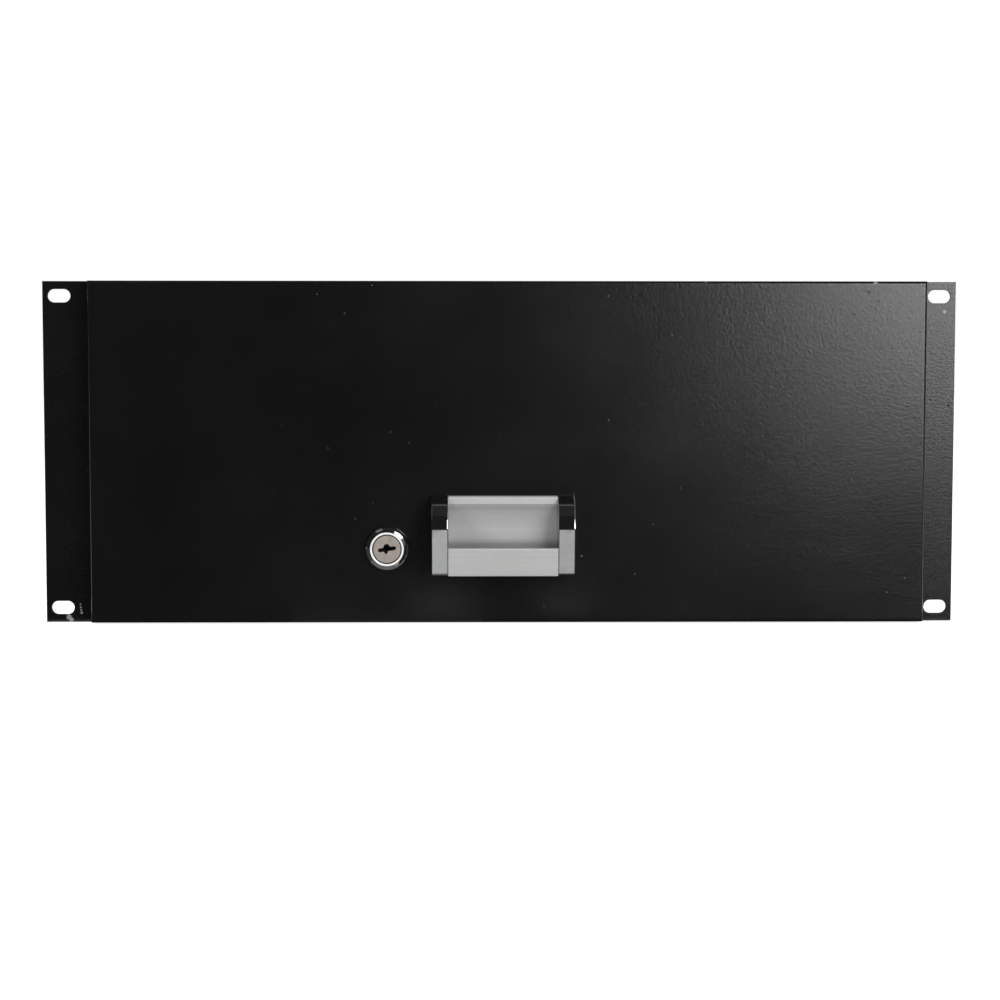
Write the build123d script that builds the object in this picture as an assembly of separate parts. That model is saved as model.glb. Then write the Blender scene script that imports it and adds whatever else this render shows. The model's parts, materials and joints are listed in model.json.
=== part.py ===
from build123d import *
import math
import os

# Sliding drawer for a 19-inch rack, four units high, with its case, ball-bearing slides and cam lock.
# Frame in millimetres: X to the right seen from the front, Y back into the rack, Z up.
# The origin is the centre of the four mounting slots, on the rear face of the ears.

# Rack interface
ear_span = 482.6
ear_height = 180.5
slot_pitch_x = 465.1
slot_pitch_z = 165.1
slot_length = 12.0
slot_width = 7.0

# Case
case_width = 434.0
case_depth = 400.0
case_sheet = 1.5
case_bend = 1.0
case_flange = 14.0
lip_height = 8.0
relief = 4.0
rear_flange = 13.0
bumper_radius = 8.0
bumper_length = 10.0
bumper_x = 150.0
bumper_z = -40.0

# Clearances
seat_gap = 0.3
hole_gap = 0.1
plate_gap = 0.2
race_gap = 0.1
slide_gap = 0.5
lip_gap = 1.5
cover_gap = 3.5
panel_gap = 1.0

# Slides
slide_thickness = 12.7
slide_height = 45.7
slide_z = -15.0
slide_start = 4.0
slide_length = 378.0
member_sheet = 1.4
member_bend = 0.6
cage_sheet = 0.5
cage_start = 130.0
cage_length = 100.0
outer_ball_radius = 2.0
inner_ball_radius = 1.6
groove_depth = 0.5
balls_per_row = 4
stop_width = 10.0
rivet_radius = 2.0
rivet_head_radius = 4.0
rivet_head = 1.1
rivets_per_member = 2
rivet_margin = 30.0

# Drawer tray
tray_sheet = 1.2
tray_bend = 0.6
tray_hem = 8.0
side_border = 14.0
floor_border = 12.0
back_flange = 10.0

# Front panel
panel_width = 440.0
panel_trim = 0.4
panel_depth = 10.0
panel_x = 4.0
panel_z = 0.3
panel_sheet = 1.2
panel_bend = 0.6
stud_radius = 2.0
stud_length = 6.0
stud_z = 50.0
nut_across = 7.0
nut_thickness = 3.2

# Handle
handle_x = 1.1
handle_rise = 47.9
handle_height = 41.8
handle_reach = 18.5
grip_width = 57.2
grip_drop = 0.8
cap_width = 8.9
cap_chamfer = 0.5
toe_radius = 1.6
pull_height = 14.8
pull_thickness = 1.9
lip_reach = 6.7
lip_thickness = 4.3
lip_round = 1.5
channel_back = 2.2
channel_floor = 2.6
handle_screw_radius = 2.0
handle_screw_depth = 7.0
washer_radius = 4.5
washer_thickness = 0.8
screw_head_radius = 3.5
screw_head = 2.2

# Lock
lock_x = -59.8
lock_rise = 40.0
bezel_radius = 11.8
bezel_height = 3.2
rim_height = 0.8
ring_radius = 9.0
ring_inner = 7.75
ring_height = 5.0
ring_taper = 0.3
barrel_radius = 9.4
barrel_flats = 16.0
barrel_length = 14.6
plug_radius = 6.4
plug_head_radius = 7.3
plug_head = 2.4
plug_recess = 0.5
tang_width = 7.4
keyway_width = 9.6
keyway_height = 2.0
keyway_depth = 13.5
lock_nut_across = 22.0
lock_nut_thickness = 3.5
lock_washer_radius = 12.4
lock_washer_thickness = 0.8
lock_teeth = 8
tooth_gap = 1.6
cam_length = 34.0
cam_hub_radius = 8.0
cam_tip_width = 12.0
cam_thickness = 2.0
cam_play = 0.4
cam_washer_radius = 6.0
cam_sweep_gap = 2.0
cam_screw_radius = 2.0
cam_screw_length = 7.0
wafer_count = 4
wafer_thickness = 0.8
wafer_pitch = 1.2
wafer_start = 2.5
wafer_length = 11.6
wafer_height = 4.2
wafer_window = 8.6

# Case fasteners
case_screw_radius = 1.5
case_screw_head = 3.0
case_screw_tail = 1.2
case_screw_margin = 40.0
case_screws_per_edge = 2

# Sides of the small fasteners and their holes, and of the bores round the lock's barrel and plug
small_sides = 8
bore_sides = 24

# Derived places
inner_half = case_width / 2 - case_sheet
half_height = ear_height / 2
floor_top = -half_height + 2 * case_sheet
lip_top = floor_top + lip_height
cover_under = half_height - 2 * case_sheet
cover_lip_under = cover_under - lip_height
rear_inner = case_depth - case_sheet
slide_end = slide_start + slide_length
tray_half = inner_half - slide_thickness
tray_under = lip_top + lip_gap
tray_top = cover_lip_under - cover_gap
tray_rear = rear_inner - bumper_length - seat_gap
panel_back_edge = -case_sheet - panel_gap
panel_front = panel_back_edge - panel_depth
panel_height = ear_height - 2 * panel_trim
handle_z = handle_rise - half_height
lock_z = lock_rise - half_height
panel_back = panel_front + panel_sheet
border_inner = panel_back + tray_sheet
flange_screw_x = inner_half - case_flange / 2
rear_screw_y = rear_inner - rear_flange / 2
cap_x = (grip_width + cap_width) / 2
barrel_end = panel_front + barrel_length
cam_front = barrel_end + cam_play
cam_back = cam_front + cam_thickness
plug_face = panel_front - ring_height + plug_recess
plug_shoulder = plug_face + plug_head


# Helpers
def block(x0, x1, y0, y1, z0, z1):
    """A box between two corners."""
    return Pos((x0 + x1) / 2, (y0 + y1) / 2, (z0 + z1) / 2) * Box(x1 - x0, y1 - y0, z1 - z0)


def sweep_x(sketch, x0, x1):
    """A sketch in Y and Z, extruded along X."""
    return Pos(x0, 0, 0) * extrude(Plane.YZ * sketch, amount=x1 - x0)


def sweep_y(sketch, y0, y1):
    """A sketch in X and Z, extruded along Y."""
    return Pos(0, y1, 0) * extrude(Plane.XZ * sketch, amount=y1 - y0)


def sweep_z(sketch, z0, z1):
    """A sketch in X and Y, extruded along Z."""
    return Pos(0, 0, z0) * extrude(sketch, amount=z1 - z0)


def folded(points, thickness, bend):
    """The section of a sheet folded along the points of its middle line, sharply where bend is 0."""
    line = FilletPolyline(*points, radius=bend + thickness / 2) if bend else Polyline(*points)
    return trace(line, line_width=thickness)


def turned(points, x, z):
    """A body turned about an axis along Y, from pairs of radius and y."""
    outline = Polygon(*points, align=None)
    return Pos(x, 0, z) * revolve(Plane.XY * outline, axis=Axis.Y)


def rod_y(radius, y0, y1, x, z):
    """A round rod along Y."""
    return Pos(x, (y0 + y1) / 2, z) * Rot(90, 0, 0) * Cylinder(radius, abs(y1 - y0))


def small_circle(radius):
    """The outline of a small fastener or of its hole, its corners on the circle."""
    return RegularPolygon(radius, small_sides)


def bore(radius):
    """The outline of a bore that clears a round bar of that radius."""
    return RegularPolygon(radius, bore_sides, major_radius=False)


def small_taper(radius, tip_radius, length):
    """A small cone or rod along +Z from z = 0."""
    inset = (radius - tip_radius) * math.cos(math.pi / small_sides)
    return extrude(small_circle(radius), amount=length, taper=math.degrees(math.atan2(inset, length)))


def hole_x(radius, x0, x1, y, z):
    """A small hole along X."""
    return sweep_x(Pos(y, z) * small_circle(radius + hole_gap), min(x0, x1), max(x0, x1))


def hole_y(radius, y0, y1, x, z):
    """A small hole along Y."""
    return sweep_y(Pos(x, z) * small_circle(radius + hole_gap), y0, y1)


def spread(first, last, count):
    """Evenly spaced places from the first to the last."""
    if count == 1:
        return [(first + last) / 2]
    return [first + (last - first) * i / (count - 1) for i in range(count)]


def flipped(part):
    """The same part on the left side."""
    return mirror(part, Plane.YZ)


def group(solids):
    """Separate like solids kept as one node."""
    return Compound(children=[solid for item in solids for solid in item.solids()])


def save(name, part):
    """Write one node."""
    export_step(part, os.path.join("parts", name + ".step"))


# Fastener places
def flange_screw_y():
    return spread(case_screw_margin, case_depth - case_screw_margin, case_screws_per_edge)


def rear_screw_z():
    return spread(-half_height + case_screw_margin, half_height - case_screw_margin, 2)


def rivet_y():
    return spread(slide_start + rivet_margin, slide_end - rivet_margin, rivets_per_member)


def ball_y():
    margin = 3 * outer_ball_radius
    return spread(cage_start + margin, cage_start + cage_length - margin, balls_per_row)


def stud_places():
    """X and Z of the studs behind the front panel."""
    side_x = tray_half - side_border / 2
    return [(sx * side_x, sz * stud_z) for sx in (-1, 1) for sz in (-1, 1)]


# Case
def flange_screw(grow, tail):
    """A countersunk screw pointing up from z = 0, or with grow the hole that it needs."""
    head = small_taper(case_screw_head + grow, case_screw_radius + grow, case_sheet)
    shank = small_taper(case_screw_radius + grow, case_screw_radius + grow, case_sheet + tail)
    return head + Pos(0, 0, case_sheet) * shank


def at_flange(screw, x, y, side):
    """A screw or its hole on the outer face of a flange, side -1 for the bottom and 1 for the top."""
    return Pos(x, y, side * half_height) * Rot(180 if side > 0 else 0, 0, 0) * screw


def right_side_panel():
    """Side wall with its ear folded out, and flanges folded in along the top and bottom."""
    middle = inner_half + case_sheet / 2
    edge = half_height - case_sheet / 2
    flange_x = inner_half - case_flange
    wall_line = [(flange_x, edge), (middle, edge), (middle, -edge), (flange_x, -edge)]
    wall = folded(wall_line, case_sheet, case_bend)
    part = sweep_y(wall, relief, case_depth)
    ear_line = [(ear_span / 2, -case_sheet / 2), (middle, -case_sheet / 2), (middle, relief)]
    ear = folded(ear_line, case_sheet, case_bend)
    part += sweep_z(ear, -half_height, half_height)
    slot = SlotOverall(slot_length, slot_width)
    for sign in (-1, 1):
        part -= sweep_y(Pos(slot_pitch_x / 2, sign * slot_pitch_z / 2) * slot, -2 * case_sheet, case_sheet)
        for y in flange_screw_y():
            part -= at_flange(flange_screw(hole_gap, 0), flange_screw_x, y, sign)
    for y in rivet_y():
        part -= hole_x(rivet_radius, inner_half - 1, case_width / 2 + 1, y, slide_z)
    for z in rear_screw_z():
        part -= hole_x(case_screw_radius, inner_half - 1, case_width / 2 + 1, rear_screw_y, z)
    return part


def bottom_plate():
    """Plate on the bottom flanges, its front edge folded up as the keeper of the lock."""
    half = inner_half - case_bend - plate_gap
    level = floor_top - case_sheet / 2
    line = [(case_sheet / 2, lip_top), (case_sheet / 2, level), (case_depth, level)]
    section = folded(line, case_sheet, case_bend)
    part = sweep_x(section, -half, half)
    for sign in (-1, 1):
        for y in flange_screw_y():
            part -= at_flange(flange_screw(hole_gap, 0), sign * flange_screw_x, y, -1)
    return part


def top_cover():
    """Cover under the top flanges, a mirror image of the bottom plate."""
    return mirror(bottom_plate(), Plane.XY)


def rear_panel():
    """Rear wall with flanges folded forward along both sides."""
    middle = inner_half - case_sheet / 2
    front = rear_inner - rear_flange
    level = case_depth - case_sheet / 2
    line = [(-middle, front), (-middle, level), (middle, level), (middle, front)]
    part = sweep_z(folded(line, case_sheet, case_bend), floor_top, cover_under)
    for sign in (-1, 1):
        for z in rear_screw_z():
            inside, outside = sign * (inner_half - 2 * case_sheet), sign * (inner_half + 1)
            part -= hole_x(case_screw_radius, inside, outside, rear_screw_y, z)
    return part


def flange_screws(side):
    """Countersunk screws through the flanges, side -1 for the bottom and 1 for the top."""
    screw = flange_screw(0, case_screw_tail)
    places = [(sx * flange_screw_x, y) for sx in (-1, 1) for y in flange_screw_y()]
    return group([at_flange(screw, x, y, side) for x, y in places])


def pan_screw(radius, head_radius, head, length):
    """Fastener along Y with a low conical head: its seat at y = 0 and its shank towards +Y."""
    crown = 0.65 * head_radius
    shank = Rot(-90, 0, 0) * small_taper(radius, radius, length)
    return shank + Rot(90, 0, 0) * small_taper(head_radius, crown, head)


def rear_panel_screws():
    """Screws through the side walls into the flanges of the rear panel."""
    length = 2 * case_sheet + seat_gap
    screw = Rot(0, 0, 90) * pan_screw(case_screw_radius, case_screw_head, rivet_head, length)
    right = [Pos(case_width / 2, rear_screw_y, z) * screw for z in rear_screw_z()]
    return group(right + [flipped(item) for item in right])


def rear_bumpers():
    """Two rubber buttons on the rear wall that stop the tray."""
    button = Rot(90, 0, 0) * small_taper(bumper_radius, 0.75 * bumper_radius, bumper_length)
    return group([Pos(sign * bumper_x, rear_inner, bumper_z) * button for sign in (-1, 1)])


# Slides, seen in section from the case wall inwards
outer_arm = slide_height / 2
outer_ball_drop = outer_ball_radius + race_gap - groove_depth
inner_ball_drop = inner_ball_radius + race_gap - groove_depth
outer_ball_z = outer_arm - member_sheet - outer_ball_drop
middle_arm = outer_ball_z - outer_ball_drop
inner_ball_z = middle_arm - member_sheet - inner_ball_drop
inner_arm = inner_ball_z - inner_ball_drop
outer_cage_in = member_sheet + slide_gap
middle_in = outer_cage_in + cage_sheet + slide_gap
inner_cage_in = middle_in + member_sheet + slide_gap
inner_tip = inner_cage_in + cage_sheet + 2 * slide_gap
outer_ball_in = middle_in + member_bend + outer_ball_radius
inner_ball_in = outer_ball_in + outer_ball_radius + 2 * slide_gap
outer_tip = outer_ball_in + outer_ball_radius + 3 * slide_gap
middle_tip = inner_ball_in + inner_ball_radius + slide_gap


def rail(web_in, tip_in, arm_z, thickness, bend):
    """Channel section of a slide member or cage, from its web to the tips of its arms."""
    sign = 1 if tip_in > web_in else -1
    web_x = inner_half - web_in - sign * thickness / 2
    tip_x = inner_half - tip_in
    level = arm_z - thickness / 2
    section = folded([(tip_x, level), (web_x, level), (web_x, -level), (tip_x, -level)], thickness, bend)
    return Pos(0, slide_z) * section


def grooves(ball_in, ball_z, radius):
    """Ball grooves of one row pair, as circles to cut from a member's section."""
    groove = Circle(radius + race_gap)
    return Pos(inner_half - ball_in, slide_z) * (Pos(0, ball_z) * groove + Pos(0, -ball_z) * groove)


def slide_outer():
    """Outer member, fixed to the case wall, with its rear stop."""
    section = rail(0, outer_tip, outer_arm, member_sheet, member_bend)
    section -= grooves(outer_ball_in, outer_ball_z, outer_ball_radius)
    part = sweep_y(section, slide_start, slide_end)
    part += block(
        inner_half - middle_tip, inner_half - member_sheet / 2, slide_end, slide_end + member_sheet,
        slide_z - stop_width / 2, slide_z + stop_width / 2,
    )
    part += block(
        inner_half - member_sheet, inner_half, slide_end - member_sheet, slide_end + member_sheet,
        slide_z - stop_width / 2, slide_z + stop_width / 2,
    )
    for y in rivet_y():
        part -= hole_x(rivet_radius, inner_half - 2 * member_sheet, inner_half + 1, y, slide_z)
    return part


def slide_middle():
    """Middle member, running between both ball rows."""
    section = rail(middle_in, middle_tip, middle_arm, member_sheet, member_bend)
    section -= grooves(outer_ball_in, outer_ball_z, outer_ball_radius)
    section -= grooves(inner_ball_in, inner_ball_z, inner_ball_radius)
    return sweep_y(section, slide_start, slide_end - slide_gap)


def slide_inner():
    """Inner member, riveted to the tray."""
    section = rail(slide_thickness, inner_tip, inner_arm, member_sheet, member_bend)
    section -= grooves(inner_ball_in, inner_ball_z, inner_ball_radius)
    part = sweep_y(section, slide_start, slide_end - slide_gap)
    for y in rivet_y():
        part -= hole_x(rivet_radius, tray_half - 1, tray_half + 2 * member_sheet, y, slide_z)
    return part


def cage(web_in, ball_in, ball_z, radius):
    """Ball cage: a thin channel with a window for each ball."""
    section = rail(web_in, ball_in + radius + slide_gap, ball_z + cage_sheet / 2, cage_sheet, 0)
    part = sweep_y(section, cage_start, cage_start + cage_length)
    window = Box(2 * (radius + race_gap), 2 * (radius + race_gap), 2 * radius)
    for y in ball_y():
        for sign in (-1, 1):
            part -= Pos(inner_half - ball_in, y, slide_z + sign * ball_z) * window
    return part


def balls(ball_in, ball_z, radius):
    """The balls of both rows of one cage, each with 18 flats whose corners reach its radius."""
    places = [(y, slide_z + sign * ball_z) for y in ball_y() for sign in (-1, 1)]
    flat = math.sqrt(2 / 3) * radius
    ball = chamfer(Box(2 * flat, 2 * flat, 2 * flat).edges(), (2 - math.sqrt(2)) * flat)
    return group([Pos(inner_half - ball_in, y, z) * ball for y, z in places])


def rivets(seat_x, direction, grip):
    """Rivets with the head's seat at seat_x on the right side, shank towards direction, on both sides."""
    turn = 90 if direction < 0 else -90
    rivet = Rot(0, 0, turn) * pan_screw(rivet_radius, rivet_head_radius, rivet_head, grip + race_gap)
    right = [Pos(seat_x, y, slide_z) * rivet for y in rivet_y()]
    return group(right + [flipped(item) for item in right])


# Drawer
def cam_reach():
    """How far the cam's tip passes through the tray floor, measured along X from the lock's axis."""
    radius = math.hypot(cam_length, cam_tip_width / 2)
    depth = lock_z - (tray_under + tray_sheet)
    return math.sqrt(max(radius**2 - depth**2, cam_hub_radius**2))


def drawer_tray():
    """Floor and sides from one sheet, with hems, a border round the open front and a slot for the cam."""
    outer = block(-tray_half, tray_half, panel_back, tray_rear, tray_under, tray_top)
    inner = block(
        -tray_half + tray_sheet, tray_half - tray_sheet, border_inner, tray_rear + 1,
        tray_under + tray_sheet, tray_top + 1,
    )
    outer = fillet(outer.edges().filter_by(Axis.Y).group_by(Axis.Z)[0], tray_bend + tray_sheet)
    inner = fillet(inner.edges().filter_by(Axis.Y).group_by(Axis.Z)[0], tray_bend)
    part = outer - inner
    window_half = tray_half - side_border
    part -= block(
        -window_half, window_half, panel_back - 1, border_inner + 1, tray_under + floor_border, tray_top + 1
    )
    hem_low = tray_top - tray_sheet
    hem_in = tray_half - tray_hem
    for sign in (-1, 1):
        low, high = sorted((sign * hem_in, sign * (tray_half - tray_sheet / 2)))
        part += block(low, high, border_inner, tray_rear, hem_low, tray_top)
        for y in rivet_y():
            inside, outside = sign * (tray_half - 2 * tray_sheet), sign * (tray_half + 1)
            part -= hole_x(rivet_radius, inside, outside, y, slide_z)
    part -= block(
        lock_x - cam_hub_radius - cam_sweep_gap, lock_x + cam_reach() + cam_sweep_gap,
        cam_front - cam_sweep_gap, cam_back + cam_sweep_gap, tray_under - 1, tray_under + tray_sheet + 1,
    )
    for x, z in stud_places():
        part -= hole_y(stud_radius, panel_back - 1, border_inner + 1, x, z)
    return part


def tray_back():
    """Rear wall of the tray, with flanges folded forward along the sides and the top."""
    half = tray_half - tray_sheet
    middle = half - tray_sheet / 2
    level = tray_rear - tray_sheet / 2
    front = tray_rear - back_flange
    low = tray_under + tray_sheet
    line = [(-middle, front), (-middle, level), (middle, level), (middle, front)]
    part = sweep_z(folded(line, tray_sheet, tray_bend), low + tray_bend, tray_top - tray_sheet)
    hem_in = tray_half - tray_hem
    part += block(-hem_in, hem_in, front, tray_rear, tray_top - tray_sheet, tray_top)
    return part


def lock_hole(radius, flats, y0, y1):
    """A round bar with two flats along the lock's axis."""
    section = Circle(radius) & Rectangle(flats, 3 * radius)
    return sweep_y(Pos(lock_x, lock_z) * section, y0, y1)


def front_panel():
    """Drawer front: a shallow pan with its four edges folded back."""
    low_x, high_x = panel_x - panel_width / 2, panel_x + panel_width / 2
    low_z, high_z = panel_z - panel_height / 2, panel_z + panel_height / 2
    outer = block(low_x, high_x, panel_front, panel_back_edge, low_z, high_z)
    inner = block(
        low_x + panel_sheet, high_x - panel_sheet, panel_back, panel_back_edge + 1,
        low_z + panel_sheet, high_z - panel_sheet,
    )
    outer = fillet(outer.faces().sort_by(Axis.Y)[0].edges(), panel_bend + panel_sheet)
    inner = fillet(inner.faces().sort_by(Axis.Y)[0].edges(), panel_bend)
    part = outer - inner
    part -= lock_hole(barrel_radius + hole_gap, barrel_flats + 2 * hole_gap, panel_front - 1, panel_back + 1)
    for sign in (-1, 1):
        x = handle_x + sign * cap_x
        part -= hole_y(handle_screw_radius, panel_front - 1, panel_back + 1, x, handle_z)
    return part


def panel_studs():
    """Studs welded to the back of the front panel."""
    stud = sweep_y(small_circle(stud_radius), panel_back, panel_back + stud_length)
    return group([Pos(x, 0, z) * stud for x, z in stud_places()])


def panel_nuts():
    """Hex nuts that clamp the tray's border to the panel."""
    section = RegularPolygon(nut_across / 2, 6, major_radius=False) - small_circle(stud_radius + hole_gap)
    nut = sweep_y(section, border_inner, border_inner + nut_thickness)
    return group([Pos(x, 0, z) * nut for x, z in stud_places()])


# Handle, drawn with v forward from the panel and w up from the handle's centre
def forward(v, w):
    """A point of the handle's side view in Y and Z."""
    return (panel_front - v, handle_z + w)


def facet(w):
    """Forward reach of the slanting lower front at height w."""
    knee = 0.08 * handle_height
    foot = -handle_height / 2
    foot_reach = 0.78 * handle_reach
    return handle_reach + (w - knee) * (handle_reach - foot_reach) / (knee - foot)


def handle_profile():
    """Extruded channel: a lip at the top, a hollow back and a pull plate in front at the bottom."""
    top = handle_height / 2 - grip_drop
    foot = -handle_height / 2 - seat_gap
    plate_top = foot + pull_height
    lip_foot = top - lip_thickness
    floor = foot + channel_floor
    edge = pull_thickness / 2
    round_top = lip_reach - lip_round
    turn_up = facet(floor) - seat_gap - pull_thickness
    outline = Polyline(forward(0, foot), forward(0, top), forward(round_top, top))
    outline += ThreePointArc(
        forward(round_top, top),
        forward(lip_reach - 0.29 * lip_round, top - 0.29 * lip_round),
        forward(lip_reach, top - lip_round),
    )
    outline += Line(forward(lip_reach, top - lip_round), forward(lip_reach, lip_foot))
    outline += ThreePointArc(
        forward(lip_reach, lip_foot),
        forward(channel_back + 0.24 * (lip_reach - channel_back), lip_foot - 0.4 * lip_foot),
        forward(channel_back, 0.2 * lip_foot),
    )
    outline += Line(forward(channel_back, 0.2 * lip_foot), forward(channel_back, 0.5 * floor))
    outline += ThreePointArc(
        forward(channel_back, 0.5 * floor),
        forward(channel_back + 0.3 * (turn_up - channel_back), 0.86 * floor),
        forward(0.6 * turn_up, floor),
    )
    outline += Line(forward(0.6 * turn_up, floor), forward(turn_up, floor))
    inside_top = facet(plate_top) - seat_gap - pull_thickness
    outside_top = facet(plate_top) - seat_gap
    outline += Line(forward(turn_up, floor), forward(inside_top, plate_top - edge))
    outline += ThreePointArc(
        forward(inside_top, plate_top - edge),
        forward((inside_top + outside_top) / 2, plate_top),
        forward(outside_top, plate_top - edge),
    )
    outline += Polyline(
        forward(outside_top, plate_top - edge), forward(facet(foot) - seat_gap, foot), forward(0, foot)
    )
    half = grip_width / 2
    return sweep_x(make_face(outline), handle_x - half, handle_x + half)


def right_handle_cap():
    """End cap: a domed side view with a slanting lower front, and a threaded boss for the screw."""
    top = handle_height / 2
    knee = 0.08 * handle_height
    outline = Line(forward(0, -top), forward(0, top))
    outline += ThreePointArc(
        forward(0, top), forward(0.72 * handle_reach, 0.68 * top), forward(handle_reach, knee)
    )
    outline += Line(forward(handle_reach, knee), forward(facet(toe_radius - top), toe_radius - top))
    outline += ThreePointArc(
        forward(facet(toe_radius - top), toe_radius - top),
        forward(facet(-top) - 0.28 * toe_radius, 0.28 * toe_radius - top),
        forward(facet(-top) - toe_radius, -top),
    )
    outline += Line(forward(facet(-top) - toe_radius, -top), forward(0, -top))
    left = handle_x + grip_width / 2
    part = sweep_x(make_face(outline), left, left + cap_width)
    sides = part.faces().filter_by(Axis.X)
    rims = [edge for face in sides for edge in face.edges() if edge.center().Y < panel_front - seat_gap]
    part = chamfer(rims, cap_chamfer)
    bottom = panel_front - handle_screw_depth - 1
    return part - hole_y(handle_screw_radius, bottom, panel_front + 1, handle_x + cap_x, handle_z)


def left_handle_cap():
    """The same cap at the other end of the profile."""
    return mirror(right_handle_cap(), Plane.YZ.offset(handle_x))


def handle_washers():
    """Flat washers behind the panel."""
    ring = small_circle(washer_radius) - small_circle(handle_screw_radius + hole_gap)
    washer = sweep_y(ring, panel_back, panel_back + washer_thickness)
    return group([Pos(handle_x + sign * cap_x, 0, handle_z) * washer for sign in (-1, 1)])


def handle_screws():
    """Pan-head screws from behind into the end caps."""
    seat = panel_back + washer_thickness
    length = seat - panel_front + handle_screw_depth
    screw = Rot(180, 0, 0) * pan_screw(handle_screw_radius, screw_head_radius, screw_head, length)
    return group([Pos(handle_x + sign * cap_x, seat, handle_z) * screw for sign in (-1, 1)])


# Lock
def lock_housing():
    """Domed bezel with a front ring, and a threaded barrel with two flats, bored for the plug."""
    rim = panel_front - rim_height
    dome = panel_front - bezel_height
    front = panel_front - ring_height
    slope = [(bezel_radius, rim), (bezel_radius - rim_height, dome + rim_height), (ring_radius, dome)]
    outline = [(0, panel_front), (bezel_radius, panel_front), *slope, (ring_radius - ring_taper, front)]
    part = turned(outline + [(0, front)], lock_x, lock_z)
    part += lock_hole(barrel_radius, barrel_flats, panel_front - 1, barrel_end)
    part -= sweep_y(Pos(lock_x, lock_z) * bore(ring_inner), front - 1, plug_shoulder + hole_gap)
    part -= sweep_y(Pos(lock_x, lock_z) * bore(plug_radius + hole_gap), front, barrel_end + 1)
    return part


def lock_plug():
    """Plug with its head, keyway, wafer slot and square tang."""
    part = rod_y(plug_head_radius, plug_face, plug_shoulder, lock_x, lock_z)
    shank = RegularPolygon(plug_radius, bore_sides)
    part += sweep_y(Pos(lock_x, lock_z) * shank, plug_shoulder, cam_front)
    tang = Pos(lock_x, lock_z) * Rectangle(tang_width, tang_width)
    part += sweep_y(tang, cam_front, cam_back + plate_gap)
    keyway = SlotOverall(keyway_width, keyway_height)
    keyway += Pos(0, keyway_height / 2) * Circle(0.8 * keyway_height)
    keyway += Pos(0, -keyway_height / 2) * Circle(0.4 * keyway_height)
    part -= sweep_y(Pos(lock_x, lock_z) * keyway, plug_face - 1, plug_face + keyway_depth)
    part -= block(
        lock_x - plug_radius - 1, lock_x + plug_radius + 1,
        wafer_y()[0] - hole_gap, wafer_y()[-1] + wafer_thickness + hole_gap,
        lock_z - wafer_height / 2 - hole_gap, lock_z + wafer_height / 2 + hole_gap,
    )
    return part - hole_y(cam_screw_radius, cam_back - cam_screw_length, cam_back + 1, lock_x, lock_z)


def wafer_y():
    """Front faces of the wafers."""
    first = plug_shoulder + wafer_start
    return [first + wafer_pitch * i for i in range(wafer_count)]


def lock_wafers():
    """Flat brass wafers, each with a window for the key."""
    section = Rectangle(wafer_length, wafer_height) - Rectangle(wafer_window, keyway_height + 2 * hole_gap)
    placed = Pos(lock_x, lock_z) * section
    return group([sweep_y(placed, y, y + wafer_thickness) for y in wafer_y()])


def lock_washer():
    """Toothed washer between the panel and the nut."""
    ring = RegularPolygon(lock_washer_radius, 2 * lock_teeth) - bore(barrel_radius + hole_gap)
    for i in range(lock_teeth):
        ring -= Rot(0, 0, 360 / lock_teeth * i) * Pos(lock_washer_radius, 0) * Rectangle(tooth_gap, tooth_gap)
    return sweep_y(Pos(lock_x, lock_z) * ring, panel_back, panel_back + lock_washer_thickness)


def lock_nut():
    """Hex nut on the barrel."""
    section = RegularPolygon(lock_nut_across / 2, 6, major_radius=False) - bore(barrel_radius + hole_gap)
    y0 = panel_back + lock_washer_thickness
    return sweep_y(Pos(lock_x, lock_z) * section, y0, y0 + lock_nut_thickness)


def lock_cam():
    """Flat cam on the tang, pointing right when the lock is open."""
    tip = Pos(cam_length - cam_tip_width / 2, 0) * RectangleRounded(cam_tip_width, cam_tip_width, 2)
    section = make_hull((Circle(cam_hub_radius) + tip).edges())
    section -= Rectangle(tang_width + 2 * hole_gap, tang_width + 2 * hole_gap)
    return sweep_y(Pos(lock_x, lock_z) * section, cam_front, cam_back)


def cam_washer():
    """Washer over the tang."""
    ring = small_circle(cam_washer_radius) - small_circle(cam_screw_radius + hole_gap)
    y0 = cam_back + plate_gap
    return sweep_y(Pos(lock_x, lock_z) * ring, y0, y0 + washer_thickness)


def cam_screw():
    """Pan-head screw that holds the cam."""
    seat = cam_back + plate_gap + washer_thickness
    length = cam_screw_length - seat_gap
    screw = Rot(180, 0, 0) * pan_screw(cam_screw_radius, screw_head_radius, screw_head, length)
    return Pos(lock_x, seat, lock_z) * screw


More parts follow.
